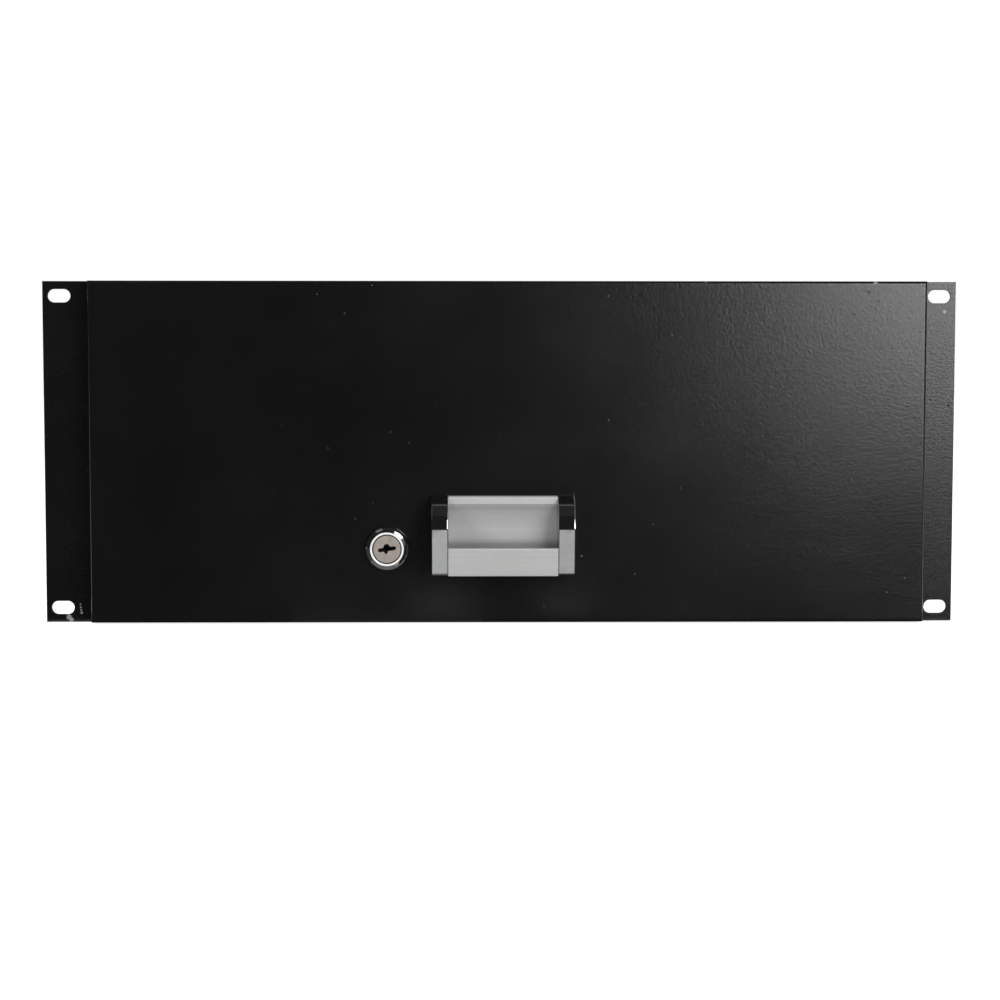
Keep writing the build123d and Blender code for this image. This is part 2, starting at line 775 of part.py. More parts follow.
def main():
    os.makedirs("parts", exist_ok=True)
    side = right_side_panel()
    save("right_side_panel", side)
    save("left_side_panel", flipped(side))
    save("bottom_plate", bottom_plate())
    save("top_cover", top_cover())
    save("rear_panel", rear_panel())
    save("bottom_screws", flange_screws(-1))
    save("cover_screws", flange_screws(1))
    save("rear_panel_screws", rear_panel_screws())
    save("rear_bumpers", rear_bumpers())
    slide_parts = {
        "slide_outer": slide_outer(),
        "slide_middle": slide_middle(),
        "slide_inner": slide_inner(),
        "outer_cage": cage(outer_cage_in, outer_ball_in, outer_ball_z, outer_ball_radius),
        "inner_cage": cage(inner_cage_in, inner_ball_in, inner_ball_z, inner_ball_radius),
        "outer_balls": balls(outer_ball_in, outer_ball_z, outer_ball_radius),
        "inner_balls": balls(inner_ball_in, inner_ball_z, inner_ball_radius),
    }
    for name, part in slide_parts.items():
        save("right_" + name, part)
        save("left_" + name, flipped(part))
    save("slide_outer_rivets", rivets(case_width / 2, -1, case_sheet + member_sheet))
    save("slide_inner_rivets", rivets(tray_half - tray_sheet, 1, tray_sheet + member_sheet))
    save("drawer_tray", drawer_tray())
    save("tray_back", tray_back())
    save("front_panel", front_panel())
    save("panel_studs", panel_studs())
    save("panel_nuts", panel_nuts())
    save("handle_profile", handle_profile())
    save("right_handle_cap", right_handle_cap())
    save("left_handle_cap", left_handle_cap())
    save("handle_washers", handle_washers())
    save("handle_screws", handle_screws())
    save("lock_housing", lock_housing())
    save("lock_washer", lock_washer())
    save("lock_nut", lock_nut())
    save("lock_plug", lock_plug())
    save("lock_wafers", lock_wafers())
    save("lock_cam", lock_cam())
    save("cam_washer", cam_washer())
    save("cam_screw", cam_screw())


main()
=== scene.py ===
import json
import math

import bmesh
import bpy
from mathutils import Matrix, Vector
from mathutils.geometry import tessellate_polygon


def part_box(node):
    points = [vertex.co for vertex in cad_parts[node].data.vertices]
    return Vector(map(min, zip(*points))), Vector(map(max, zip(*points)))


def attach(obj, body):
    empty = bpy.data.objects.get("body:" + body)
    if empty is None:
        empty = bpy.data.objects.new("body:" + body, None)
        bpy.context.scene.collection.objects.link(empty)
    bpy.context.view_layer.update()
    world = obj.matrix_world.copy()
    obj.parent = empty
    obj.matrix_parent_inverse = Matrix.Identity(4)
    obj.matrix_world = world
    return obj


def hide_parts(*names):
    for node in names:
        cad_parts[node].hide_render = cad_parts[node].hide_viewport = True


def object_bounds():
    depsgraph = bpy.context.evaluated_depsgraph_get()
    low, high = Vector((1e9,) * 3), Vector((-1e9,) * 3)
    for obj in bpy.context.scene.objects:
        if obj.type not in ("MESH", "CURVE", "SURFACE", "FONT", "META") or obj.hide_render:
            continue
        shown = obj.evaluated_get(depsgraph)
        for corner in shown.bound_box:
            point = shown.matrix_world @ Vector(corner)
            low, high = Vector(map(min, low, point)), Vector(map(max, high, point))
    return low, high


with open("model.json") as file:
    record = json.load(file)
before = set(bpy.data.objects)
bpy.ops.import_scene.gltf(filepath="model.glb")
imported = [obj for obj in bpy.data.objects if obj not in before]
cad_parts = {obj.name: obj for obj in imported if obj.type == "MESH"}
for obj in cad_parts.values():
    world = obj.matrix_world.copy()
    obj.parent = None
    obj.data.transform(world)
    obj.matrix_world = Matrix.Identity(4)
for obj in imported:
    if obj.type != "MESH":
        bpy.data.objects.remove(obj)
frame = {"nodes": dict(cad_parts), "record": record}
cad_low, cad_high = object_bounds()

# Sliding rack drawer: the finish of every part, and closer shapes for its small pieces.
# Metres, X to the right seen from the front, Y back into the rack, Z up. Shapes are drawn in mm.

MM = 0.001
nodes = frame["nodes"]
record = frame["record"]
bodies_of = {n: b for b, names in record["behaviour"]["bodies"].items() for n in names}
slot_of = {s["node"]: s["material_slot"] for s in record["subparts"]}


def box_of(node):
    """Lowest and highest corner of a node in mm."""
    low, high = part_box(node)
    return low / MM, high / MM


# Camera, matched to the photograph
def add_camera():
    """A 72 mm lens on a 36 mm sensor, a metre in front and a little above the middle."""
    right = Vector((0.99988, -0.01536, 0.00045))
    ahead = Vector((0.01536, 0.99767, -0.06641))
    up = right.cross(ahead)
    place = Vector((-16.58, -1062.74, 45.27)) * MM
    data = bpy.data.cameras.new("camera")
    data.lens = 72
    data.sensor_width = 36
    data.clip_start = 0.01
    data.clip_end = 50
    camera = bpy.data.objects.new("camera", data)
    bpy.context.scene.collection.objects.link(camera)
    turn = Matrix((right, up, -ahead)).transposed().to_4x4()
    camera.matrix_world = Matrix.Translation(place) @ turn
    bpy.context.scene.camera = camera


# Shader helpers
class Shader:
    """A node tree that is filled step by step, with the position in the part's frame as coordinates."""

    def __init__(self, tree):
        self.tree = tree
        tree.nodes.clear()
        self.place = self.add("ShaderNodeTexCoord").outputs["Object"]

    def add(self, kind, **settings):
        made = self.tree.nodes.new(kind)
        for name, value in settings.items():
            setattr(made, name, value)
        return made

    def join(self, source, target):
        self.tree.links.new(source, target)

    def put(self, socket, value):
        """Sets a socket to a number, or links another socket to it."""
        if isinstance(value, bpy.types.NodeSocket):
            self.join(value, socket)
        else:
            socket.default_value = value

    def math(self, operation, a, b=0.0, c=0.0):
        made = self.add("ShaderNodeMath", operation=operation)
        self.put(made.inputs[0], a)
        self.put(made.inputs[1], b)
        self.put(made.inputs[2], c)
        return made.outputs[0]

    def stretch(self, scale):
        """The place in the part's frame, scaled along each axis."""
        made = self.add("ShaderNodeMapping")
        made.inputs["Scale"].default_value = scale
        self.join(self.place, made.inputs["Vector"])
        return made.outputs[0]

    def axis(self, index):
        """One coordinate of the place."""
        made = self.add("ShaderNodeSeparateXYZ")
        self.join(self.place, made.inputs[0])
        return made.outputs[index]

    def noise(self, scale, detail=2.0, roughness=0.5, place=None):
        made = self.add("ShaderNodeTexNoise")
        made.inputs["Scale"].default_value = scale
        made.inputs["Detail"].default_value = detail
        made.inputs["Roughness"].default_value = roughness
        self.join(place or self.place, made.inputs["Vector"])
        return made.outputs[0]

    def cells(self, scale):
        """Distance to the nearest of randomly scattered points, and a random colour for each."""
        made = self.add("ShaderNodeTexVoronoi")
        made.inputs["Scale"].default_value = scale
        self.join(self.place, made.inputs["Vector"])
        return made.outputs["Distance"], made.outputs["Color"]

    def channel(self, colour, index):
        """One channel of a colour."""
        made = self.add("ShaderNodeSeparateColor")
        self.join(colour, made.inputs[0])
        return made.outputs[index]

    def remap(self, value, low, high, new_low, new_high, smooth=False):
        made = self.add("ShaderNodeMapRange", interpolation_type="SMOOTHSTEP" if smooth else "LINEAR")
        self.join(value, made.inputs["Value"])
        ends = {"From Min": low, "From Max": high, "To Min": new_low, "To Max": new_high}
        for name, number in ends.items():
            made.inputs[name].default_value = number
        return made.outputs[0]

    def mix(self, share, a, b):
        made = self.add("ShaderNodeMix", data_type="RGBA")
        self.put(made.inputs[0], share)
        self.put(made.inputs[6], a)
        self.put(made.inputs[7], b)
        return made.outputs[2]

    def coats(self, colour, *layers):
        """A colour under others, each given as its mask, its strength and itself."""
        for mask, strength, over in layers:
            colour = self.mix(self.math("MULTIPLY", mask, strength), colour, over)
        return colour

    def total(self, value, *shares):
        """A value plus others, each given with its factor."""
        for other, factor in shares:
            value = self.math("ADD", value, self.math("MULTIPLY", other, factor))
        return value

    def bump(self, height, distance, normal=None):
        made = self.add("ShaderNodeBump")
        made.inputs["Distance"].default_value = distance
        self.join(height, made.inputs["Height"])
        if normal is not None:
            self.join(normal, made.inputs["Normal"])
        return made.outputs[0]

    def soft_edge(self, radius):
        """Normals that turn smoothly round the edges, and a mask that is 1 on them."""
        bevel = self.add("ShaderNodeBevel", samples=6)
        bevel.inputs["Radius"].default_value = radius
        flat = self.add("ShaderNodeNewGeometry").outputs["Normal"]
        dot = self.add("ShaderNodeVectorMath", operation="DOT_PRODUCT")
        self.join(bevel.outputs[0], dot.inputs[0])
        self.join(flat, dot.inputs[1])
        edge = self.remap(dot.outputs["Value"], 0.995, 0.86, 0.0, 1.0)
        return bevel.outputs[0], edge

    def spot(self, centre, radius, ragged):
        """A mask that is 1 at a place, given in mm, and fades out over a radius with a ragged outline."""
        away = self.add("ShaderNodeVectorMath", operation="DISTANCE")
        self.join(self.place, away.inputs[0])
        away.inputs[1].default_value = Vector(centre) * MM
        reach = radius * MM
        wobble = self.noise(1.6 / reach, 4.0, 0.65)
        moved = self.math("MULTIPLY_ADD", wobble, ragged * reach, -0.5 * ragged * reach)
        total = self.math("ADD", away.outputs["Value"], moved)
        return self.remap(total, 0.45 * reach, reach, 1.0, 0.0, smooth=True)


def grey(shade):
    """A neutral colour."""
    return shade, shade, shade, 1


def empty_material(name):
    """A material and its shader tree, still empty."""
    material = bpy.data.materials.new(name)
    material.use_nodes = True
    return material, Shader(material.node_tree)


def end_in(s, source, kind="ShaderNodeOutputMaterial"):
    """Joins the last shader to the output."""
    s.join(source, s.add(kind).inputs["Surface"])


def new_material(name, **constants):
    """A material with one principled shader, its plain numbers on the shader's own sockets."""
    material, s = empty_material(name)
    surface = s.add("ShaderNodeBsdfPrincipled")
    for socket, value in constants.items():
        surface.inputs[socket.replace("_", " ")].default_value = value
    end_in(s, surface.outputs[0])
    return material, s, surface


# Powder coat
SCUFFS = [
    ((-229.6, -1.5, -87.6), 1.9, 1.2),
    ((-228.4, -1.5, -89.2), 1.7, 1.2),
    ((-223.4, -1.5, -80.8), 0.6, 1.0),
    ((-223.3, -1.5, -82.4), 0.7, 1.0),
    ((-223.1, -1.5, -84.0), 0.7, 1.0),
    ((-222.8, -1.5, -85.4), 0.8, 1.0),
    ((235.6, -1.5, 74.6), 1.3, 0.7),
    ((107.5, -12.4, 90.0), 1.0, 1.0),
    ((196.7, -12.4, 89.9), 1.7, 1.1),
]
SMEARS = [
    ((200.7, -12.5, 74.7), 1.8, 1.0),
]
DENTS = [
    ((192.7, -12.5, 84.2), 0.9),
    ((197.9, -12.5, 79.3), 0.6),
    ((185.4, -12.5, 72.6), 0.6),
    ((166.5, -12.5, 71.0), 0.5),
    ((168.6, -12.5, 60.2), 0.5),
    ((205.4, -12.5, 54.9), 0.6),
]


def marks(s, places):
    """One mask for a list of spots."""
    mask = 0.0
    for centre, radius, ragged in places:
        mask = s.math("MAXIMUM", s.spot(centre, radius, ragged), mask)
    return mask


def powder_coat():
    """Satin black powder: orange peel, fine grain, pits and dents with painted shade in them, specks,
    rubbed edges, a painted highlight along every edge, and a few scuffs.
    """
    material, s, surface = new_material("powder_coat", Specular_IOR_Level=0.5)
    peel = s.noise(650.0, 2.0, 0.5)
    grain = s.noise(2100.0, 3.0, 0.65)
    distance, tint = s.cells(210.0)
    chance = s.remap(s.channel(tint, 0), 0.88, 0.92, 0.0, 1.0)
    pit = s.math("MULTIPLY", s.remap(distance, 0.05, 0.14, 1.0, 0.0), chance)
    dust = s.math("MULTIPLY", s.remap(distance, 0.03, 0.07, 1.0, 0.0), s.remap(chance, 0.0, 1.0, 1.0, 0.0))
    dust = s.math("MULTIPLY", dust, s.remap(s.channel(tint, 1), 0.93, 0.95, 0.0, 1.0))
    cloud = s.noise(9.0, 4.0, 0.6)
    rub = s.noise(60.0, 3.0, 0.6, place=s.stretch((0.25, 1.0, 1.0)))
    smooth, edge = s.soft_edge(0.45 * MM)
    chips = s.math("MULTIPLY", edge, s.remap(s.noise(170.0, 4.0, 0.7), 0.62, 0.68, 0.0, 1.0))
    scuff = s.math("MULTIPLY", marks(s, SCUFFS), s.remap(grain, 0.35, 0.6, 0.35, 1.0))
    smear = s.math("MULTIPLY", marks(s, SMEARS), s.remap(peel, 0.35, 0.65, 0.2, 1.0))
    dent = marks(s, [(place, radius, 0.5) for place, radius in DENTS])
    ear = s.math("MULTIPLY", s.remap(s.axis(1), -4 * MM, -3 * MM, 0.0, 1.0),
                 s.remap(s.axis(1), 0.5 * MM, 1 * MM, 1.0, 0.0))
    colour = s.mix(s.remap(cloud, 0.3, 0.7, 0.0, 1.0), (0.0018, 0.0018, 0.002, 1),
                   (0.0034, 0.0034, 0.0038, 1))
    inner = s.remap(s.axis(1), 0.5 * MM, 3 * MM, 0.0, 1.0)
    film = s.mix(s.remap(s.noise(26.0, 5.0, 0.65), 0.35, 0.7, 0.0, 1.0), (0.009, 0.009, 0.0095, 1),
                 (0.016, 0.0158, 0.016, 1))
    hollow = s.math("ADD", pit, dent)
    colour = s.coats(
        s.mix(inner, colour, film),
        # painted shade: pits and dents darkened in colour, besides being sunk by the bump
        (hollow, 0.8, grey(0.001)),
        # painted highlight: every edge lightened
        (edge, 0.2, (0.03, 0.03, 0.032, 1)),
        (dust, 0.5, grey(0.05)),
        (chips, 1.0, grey(0.1)),
        (smear, 0.15, (0.05, 0.05, 0.052, 1)),
        (scuff, 1.0, (0.17, 0.17, 0.175, 1)),
    )
    s.join(colour, surface.inputs["Base Color"])
    rough = s.math("ADD", s.remap(cloud, 0.25, 0.75, 0.19, 0.25), s.remap(rub, 0.5, 0.75, 0.0, 0.015))
    rough = s.total(rough, (ear, s.remap(grain, 0.3, 0.7, -0.1, 0.1)), (scuff, 0.2), (smear, 0.12))
    s.join(rough, surface.inputs["Roughness"])
    height = s.total(s.math("MULTIPLY", peel, 0.6), (grain, 0.4), (s.math("MULTIPLY", ear, grain), 0.2),
                     (hollow, -1.2))
    s.join(s.bump(height, 0.12 * MM, smooth), surface.inputs["Normal"])
    return material


# Metals
def zinc_plate():
    """Bright zinc on rolled steel: faint rolling lines along Y, cloudy passivation and dull spots."""
    material, s, surface = new_material("zinc_plate", Metallic=1.0)
    lines = s.noise(900.0, 3.0, 0.7, place=s.stretch((1.0, 0.02, 1.0)))
    cloud = s.noise(38.0, 4.0, 0.6)
    distance, tint = s.cells(260.0)
    grease = s.remap(s.noise(24.0, 4.0, 0.65), 0.55, 0.72, 0.0, 1.0)
    smooth, edge = s.soft_edge(0.25 * MM)
    colour = s.mix(s.remap(cloud, 0.3, 0.7, 0.0, 1.0), (0.5, 0.51, 0.53, 1), (0.66, 0.67, 0.68, 1))
    colour = s.coats(
        colour,
        (s.channel(tint, 1), 0.16, (0.72, 0.72, 0.7, 1)),
        (grease, 0.35, (0.42, 0.41, 0.38, 1)),
        (edge, 0.4, (0.75, 0.76, 0.77, 1)),
    )
    s.join(colour, surface.inputs["Base Color"])
    rough = s.math("ADD", s.remap(cloud, 0.25, 0.75, 0.26, 0.4), s.remap(lines, 0.4, 0.7, 0.0, 0.08))
    s.join(s.total(rough, (grease, -0.1)), surface.inputs["Roughness"])
    height = s.math("SUBTRACT", lines, s.remap(distance, 0.04, 0.12, 0.8, 0.0))
    s.join(s.bump(height, 0.006 * MM, smooth), surface.inputs["Normal"])
    return material


def satin_ring(s):
    """A mask for the finely turned front ring of the lock."""
    low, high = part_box("lock_housing")
    away = s.add("ShaderNodeVectorMath", operation="DISTANCE")
    s.join(s.stretch((1.0, 0.0, 1.0)), away.inputs[0])
    away.inputs[1].default_value = ((low.x + high.x) / 2, 0, (low.z + high.z) / 2)
    inside = s.remap(away.outputs["Value"], 7.66 * MM, 7.8 * MM, 0.0, 1.0)
    outside = s.remap(away.outputs["Value"], 8.75 * MM, 8.95 * MM, 1.0, 0.0)
    front = s.remap(s.axis(1), low.y + 0.6 * MM, low.y + 0.8 * MM, 1.0, 0.0)
    return s.math("MULTIPLY", s.math("MULTIPLY", inside, outside), front)


def chrome_plate():
    """Polished chrome with hair scratches, faint finger marks and a soft waviness."""
    material, s, surface = new_material("chrome_plate", Metallic=1.0)
    smear = s.noise(95.0, 4.0, 0.6)
    hair = s.noise(2600.0, 2.0, 0.6, place=s.stretch((0.06, 1.0, 1.0)))
    wave = s.noise(170.0, 1.0, 0.4)
    distance, tint = s.cells(420.0)
    speck = s.math("MULTIPLY", s.remap(distance, 0.05, 0.12, 1.0, 0.0),
                   s.remap(s.channel(tint, 0), 0.9, 0.93, 0.0, 1.0))
    smooth = s.soft_edge(0.15 * MM)[0]
    satin = satin_ring(s)
    colour = s.mix(s.remap(smear, 0.35, 0.7, 0.0, 1.0), (0.74, 0.745, 0.755, 1), (0.64, 0.645, 0.655, 1))
    colour = s.coats(colour, (speck, 0.6, (0.3, 0.29, 0.28, 1)), (satin, 1.0, (0.62, 0.62, 0.61, 1)))
    s.join(colour, surface.inputs["Base Color"])
    s.join(s.remap(satin, 0.0, 1.0, 1.0, 0.3), surface.inputs["Metallic"])
    rough = s.total(s.remap(smear, 0.4, 0.75, 0.04, 0.14), (satin, 0.34))
    s.join(rough, surface.inputs["Roughness"])
    height = s.total(s.math("MULTIPLY", wave, 1.6), (hair, 0.07))
    s.join(s.bump(height, 0.012 * MM, smooth), surface.inputs["Normal"])
    return material


def painted_recess_shade(s):
    """A mask of painted shade in the handle's recess: darker under the lip and behind the pull plate."""
    low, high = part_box("handle_profile")
    painted_shade_depth = s.remap(s.axis(1), high.y - 6 * MM, high.y - 3.5 * MM, 0.0, 1.0)
    lip = s.remap(s.axis(2), high.z - 8.5 * MM, high.z - LIP_DEPTH * MM, 0.0, 0.8, smooth=True)
    floor = s.remap(s.axis(2), low.z + PLATE_HEIGHT * MM, low.z + 19.5 * MM, 0.7, 0.0, smooth=True)
    return s.math("MULTIPLY", painted_shade_depth, s.math("MAXIMUM", lip, floor))


def satin_aluminium():
    """Anodised aluminium with fine extrusion lines along X, a few darker nicks, and painted shade in the
    recess under the lip and behind the pull plate.
    """
    material, s, surface = new_material("satin_aluminium", Metallic=0.35)
    lines = s.noise(4000.0, 3.0, 0.65, place=s.stretch((0.012, 1.0, 1.0)))
    broad = s.noise(700.0, 2.0, 0.6, place=s.stretch((0.02, 1.0, 1.0)))
    cloud = s.noise(55.0, 3.0, 0.55)
    grain = s.noise(5200.0, 2.0, 0.6)
    distance, tint = s.cells(330.0)
    nick = s.math("MULTIPLY", s.remap(distance, 0.05, 0.11, 1.0, 0.0),
                  s.remap(s.channel(tint, 0), 0.86, 0.9, 0.0, 1.0))
    smooth, edge = s.soft_edge(0.2 * MM)
    both = s.math("MULTIPLY_ADD", broad, 0.5, s.math("MULTIPLY", lines, 0.5))
    colour = s.coats(
        s.mix(s.remap(both, 0.35, 0.65, 0.0, 1.0), grey(0.3), (0.33, 0.33, 0.325, 1)),
        (nick, 0.5, grey(0.2)),
        # painted shade: the recess darkened under the lip and behind the pull plate
        (painted_recess_shade(s), 1.0, grey(0.1)),
        (edge, 0.4, grey(0.62)),
    )
    s.join(colour, surface.inputs["Base Color"])
    s.join(s.remap(cloud, 0.3, 0.7, 0.42, 0.52), surface.inputs["Roughness"])
    height = s.total(lines, (grain, 0.5), (nick, -1.0))
    s.join(s.bump(height, 0.008 * MM, smooth), surface.inputs["Normal"])
    return material


def nickel_plug():
    """Warm nickel, machined flat and worn round the keyway by the key, with painted shade that blackens
    the keyway's walls.
    """
    material, s, surface = new_material("nickel_plug", Metallic=0.35)
    low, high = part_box("lock_plug")
    away = s.add("ShaderNodeVectorMath", operation="DISTANCE")
    s.join(s.place, away.inputs[0])
    away.inputs[1].default_value = ((low.x + high.x) / 2, low.y, (low.z + high.z) / 2)
    worn = s.remap(away.outputs["Value"], 2.5 * MM, 5.5 * MM, 1.0, 0.0, smooth=True)
    cloud = s.noise(420.0, 4.0, 0.65)
    scratch = s.noise(2300.0, 2.0, 0.6, place=s.stretch((0.15, 1.0, 1.0)))
    smooth, edge = s.soft_edge(0.15 * MM)
    colour = s.mix(s.remap(cloud, 0.3, 0.7, 0.0, 1.0), (0.205, 0.182, 0.16, 1), (0.265, 0.238, 0.21, 1))
    # painted shade: the plug's surfaces from 0.35-0.9 mm to 13-14 mm behind its face, the keyway's walls,
    # are blackened
    painted_shade_depth = s.remap(s.axis(1), low.y + 0.35 * MM, low.y + 0.9 * MM, 0.0, 1.0)
    near = s.remap(s.axis(1), low.y + 13 * MM, low.y + 14 * MM, 1.0, 0.0)
    colour = s.coats(colour, (edge, 0.5, (0.7, 0.69, 0.66, 1)), (painted_shade_depth, near, (0.012, 0.011, 0.01, 1)))
    s.join(colour, surface.inputs["Base Color"])
    rough = s.total(s.remap(cloud, 0.3, 0.7, 0.4, 0.5), (worn, -0.06))
    s.join(rough, surface.inputs["Roughness"])
    height = s.total(scratch, (worn, s.noise(1400.0, 3.0, 0.7)))
    s.join(s.bump(height, 0.02 * MM, smooth), surface.inputs["Normal"])
    return material


def bearing_steel():
    """Polished ball steel with a thin film of grease."""
    coat = {"Coat_Weight": 0.35, "Coat_Roughness": 0.25}
    material, s, surface = new_material("bearing_steel", Metallic=1.0, **coat)
    film = s.noise(700.0, 3.0, 0.6)
    s.join(s.mix(film, (0.62, 0.62, 0.63, 1), (0.72, 0.71, 0.69, 1)), surface.inputs["Base Color"])
    s.join(s.remap(film, 0.3, 0.7, 0.05, 0.18), surface.inputs["Roughness"])
    s.join(s.bump(film, 0.004 * MM), surface.inputs["Normal"])
    return material


def black_oxide():
    """Black oxide screws, rubbed to steel on their edges."""
    material, s, surface = new_material("black_oxide", Metallic=0.7)
    grain = s.noise(1600.0, 3.0, 0.6)
    smooth, edge = s.soft_edge(0.12 * MM)
    worn = s.math("MULTIPLY", edge, s.remap(s.noise(700.0, 3.0), 0.45, 0.6, 0.0, 1.0))
    s.join(s.mix(worn, (0.022, 0.022, 0.024, 1), (0.3, 0.3, 0.31, 1)), surface.inputs["Base Color"])
    s.join(s.remap(grain, 0.3, 0.7, 0.34, 0.48), surface.inputs["Roughness"])
    s.join(s.bump(grain, 0.01 * MM, smooth), surface.inputs["Normal"])
    return material


def wafer_brass():
    """Tarnished stamped brass with a fine grain."""
    material, s, surface = new_material("wafer_brass", Metallic=0.8)
    grain = s.noise(1500.0, 3.0, 0.6)
    s.join(s.mix(grain, (0.03, 0.022, 0.012, 1), (0.07, 0.05, 0.025, 1)), surface.inputs["Base Color"])
    s.join(s.remap(grain, 0.3, 0.7, 0.45, 0.6), surface.inputs["Roughness"])
    s.join(s.bump(grain, 0.01 * MM), surface.inputs["Normal"])
    return material


def bumper_rubber():
    """Matt black rubber with moulding grain and dust."""
    material, s, surface = new_material("bumper_rubber", Specular_IOR_Level=0.35)
    grain = s.noise(1300.0, 4.0, 0.65)
    dust = s.remap(s.noise(130.0, 4.0, 0.6), 0.5, 0.75, 0.0, 0.35)
    s.join(s.mix(dust, (0.014, 0.014, 0.014, 1), (0.08, 0.078, 0.072, 1)), surface.inputs["Base Color"])
    s.join(s.remap(grain, 0.3, 0.7, 0.68, 0.86), surface.inputs["Roughness"])
    s.join(s.bump(grain, 0.05 * MM), surface.inputs["Normal"])
    return material


def make_materials():
    """One finish for each material slot of the record."""
    return {
        "black_powder_coat": powder_coat(),
        "zinc_steel": zinc_plate(),
        "black_screws": black_oxide(),
        "bearing_steel": bearing_steel(),
        "chrome_plate": chrome_plate(),
        "satin_aluminium": satin_aluminium(),
        "nickel_plug": nickel_plug(),
        "wafer_brass": wafer_brass(),
        "bumper_rubber": bumper_rubber(),
    }


def dress_nodes():
    """Every node gets the finish of its slot."""
    for name, piece in nodes.items():
        piece.data.materials.clear()
        piece.data.materials.append(materials[slot_of[name]])


# Outlines in mm
def arc(a, b, c, steps=10):
    """Points on the circle through three points, from the first to the last."""
    (ax, ay), (bx, by), (cx, cy) = a, b, c
    double = 2 * (ax * (by - cy) + bx * (cy - ay) + cx * (ay - by))
    sa, sb, sc = ax * ax + ay * ay, bx * bx + by * by, cx * cx + cy * cy
    ox = (sa * (by - cy) + sb * (cy - ay) + sc * (ay - by)) / double
    oy = (sa * (cx - bx) + sb * (ax - cx) + sc * (bx - ax)) / double
    radius = math.hypot(ax - ox, ay - oy)
    start, middle, end = (math.atan2(y - oy, x - ox) for x, y in (a, b, c))
    sweep = (end - start) % (2 * math.pi)
    if (middle - start) % (2 * math.pi) > sweep:
        sweep -= 2 * math.pi
    turns = [start + sweep * i / steps for i in range(steps + 1)]
    return [(ox + radius * math.cos(t), oy + radius * math.sin(t)) for t in turns]


def circle(radius, steps=64):
    """A closed round outline."""
    turns = [2 * math.pi * i / steps for i in range(steps)]
    return [(radius * math.cos(t), radius * math.sin(t)) for t in turns]


def soften(corners, size, closed=False, steps=4):
    """The same line with its corners rounded off."""
    made = []
    for i, corner in enumerate(corners):
        if not closed and i in (0, len(corners) - 1):
            made.append(corner)
            continue
        here = Vector(corner)
        before = Vector(corners[i - 1]) - here
        after = Vector(corners[(i + 1) % len(corners)]) - here
        start = here + before.normalized() * min(size, 0.45 * before.length)
        end = here + after.normalized() * min(size, 0.45 * after.length)
        for k in range(steps + 1):
            share = k / steps
            first, second = start.lerp(here, share), here.lerp(end, share)
            made.append(tuple(first.lerp(second, share)))
    return made


def anticlockwise(outline):
    """The outline, its inside on the left."""
    area = sum(a[0] * b[1] - b[0] * a[1] for a, b in zip(outline, outline[1:] + outline[:1]))
    return outline if area > 0 else outline[::-1]


def shrink(outline, amount):
    """An anticlockwise outline moved inwards."""
    made = []
    for i, point in enumerate(outline):
        here = Vector(point)
        before = (here - Vector(outline[i - 1])).normalized()
        after = (Vector(outline[(i + 1) % len(outline)]) - here).normalized()
        inward = Vector((-before.y - after.y, before.x + after.x)).normalized()
        straight = inward.x * -before.y + inward.y * before.x
        made.append(tuple(here + inward * amount / max(straight, 0.5)))
    return made


# Surfaces, as points in mm and faces, round an axis of their own
def skin(rings, closed=False, filled=True):
    """A surface through rings of points; the end rings are joined, filled or left open."""
    count = len(rings[0])
    points = [point for ring in rings for point in ring]
    faces = []
    for i in range(len(rings) if closed else len(rings) - 1):
        low, high = i * count, (i + 1) % len(rings) * count
        for k in range(count):
            m = (k + 1) % count
            faces.append((low + k, low + m, high + m, high + k))
    if filled and not closed:
        last = (len(rings) - 1) * count
        faces.append(tuple(reversed(range(count))))
        faces.append(tuple(range(last, last + count)))
    return points, faces


def lathe(profile, steps=64, closed=False):
    """A surface through pairs of radius and height; either may be a rule of the angle."""
    rings = []
    for radius, height in profile:
        ring = []
        for i in range(steps):
            angle = 2 * math.pi * i / steps
            reach = radius(angle) if callable(radius) else radius
            rise = height(angle) if callable(height) else height
            ring.append((reach * math.cos(angle), reach * math.sin(angle), rise))
        rings.append(ring)
    return skin(rings, closed)


def plate(outlines, low, high, rounding):
    """A flat body between two heights, its first outline round the outside and the others holes."""
    quarter = [math.radians(angle) for angle in (0, 30, 60, 90)]
    rim = [(rounding * (1 - math.sin(t)), rounding * (1 - math.cos(t))) for t in quarter]
    levels = [(inset, low + lift) for inset, lift in rim]
    levels += [(inset, high - lift) for inset, lift in rim[::-1]]
    points, faces, bottom, top = [], [], [], []
    for number, outline in enumerate(outlines):
        way = -1 if number else 1
        line = anticlockwise(outline)
        rings = [[(u, v, level) for u, v in shrink(line, way * inset)] for inset, level in levels]
        first = len(points)
        wall_points, wall_faces = skin(rings, filled=False)
        points += wall_points
        faces += [tuple(first + k for k in face) for face in wall_faces]
        bottom.append(range(first, first + len(line)))
        top.append(range(len(points) - len(line), len(points)))
    for loops in (bottom, top):
        order = [k for loop in loops for k in loop]
        flat = tessellate_polygon([[Vector(points[k]) for k in loop] for loop in loops])
        faces += [tuple(order[k] for k in triangle) for triangle in flat]
    return points, faces


def ball(radius, steps=28):
    """A round ball."""
    turns = [math.pi * (i + 0.02) / (steps / 2 + 0.04) for i in range(steps // 2 + 1)]
    return lathe([(radius * math.sin(t), -radius * math.cos(t)) for t in turns], steps)


SHARP_EDGE = math.radians(40)
FACING = {
    "front": ((1, 0, 0), (0, 0, 1)),
    "back": ((-1, 0, 0), (0, 0, 1)),
    "right": ((0, 1, 0), (0, 0, 1)),
    "left": ((0, -1, 0), (0, 0, 1)),
    "up": ((1, 0, 0), (0, 1, 0)),
    "down": ((1, 0, 0), (0, -1, 0)),
}


